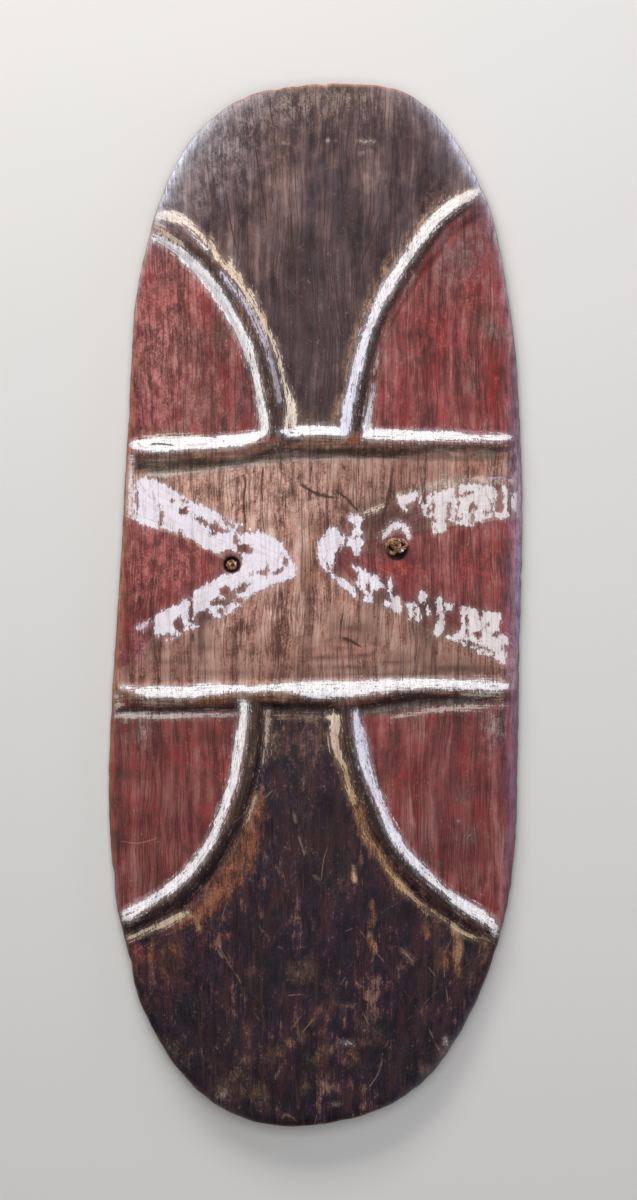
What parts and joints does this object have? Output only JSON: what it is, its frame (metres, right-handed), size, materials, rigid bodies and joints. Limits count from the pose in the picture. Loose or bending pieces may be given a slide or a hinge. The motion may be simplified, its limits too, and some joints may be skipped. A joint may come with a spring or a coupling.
{
  "type": "tribal shield",
  "caption": "Long oval carved wooden shield with raised ribs and a painted face, bowed across its width, with a knotted fibre grip cord behind. It lies on its back.",
  "frame": {"origin": "under the middle of the board's outline, on the surface that it lies on", "axes": "+Z out of the carved face, +Y towards the shield's upper end, +X to the right as the face is looked at"},
  "size_m": [0.519, 1.3, 0.059],
  "materials": {
    "painted_wood": "adzed old wood with worn earth paints, matt to faintly polished",
    "plant_fibre": "dry twisted bark fibre"
  },
  "bodies": {
    "root": {"shield_board": "painted_wood", "knot_left": "plant_fibre", "knot_right": "plant_fibre", "grip_cord": "plant_fibre"}
  },
  "joints": []
}
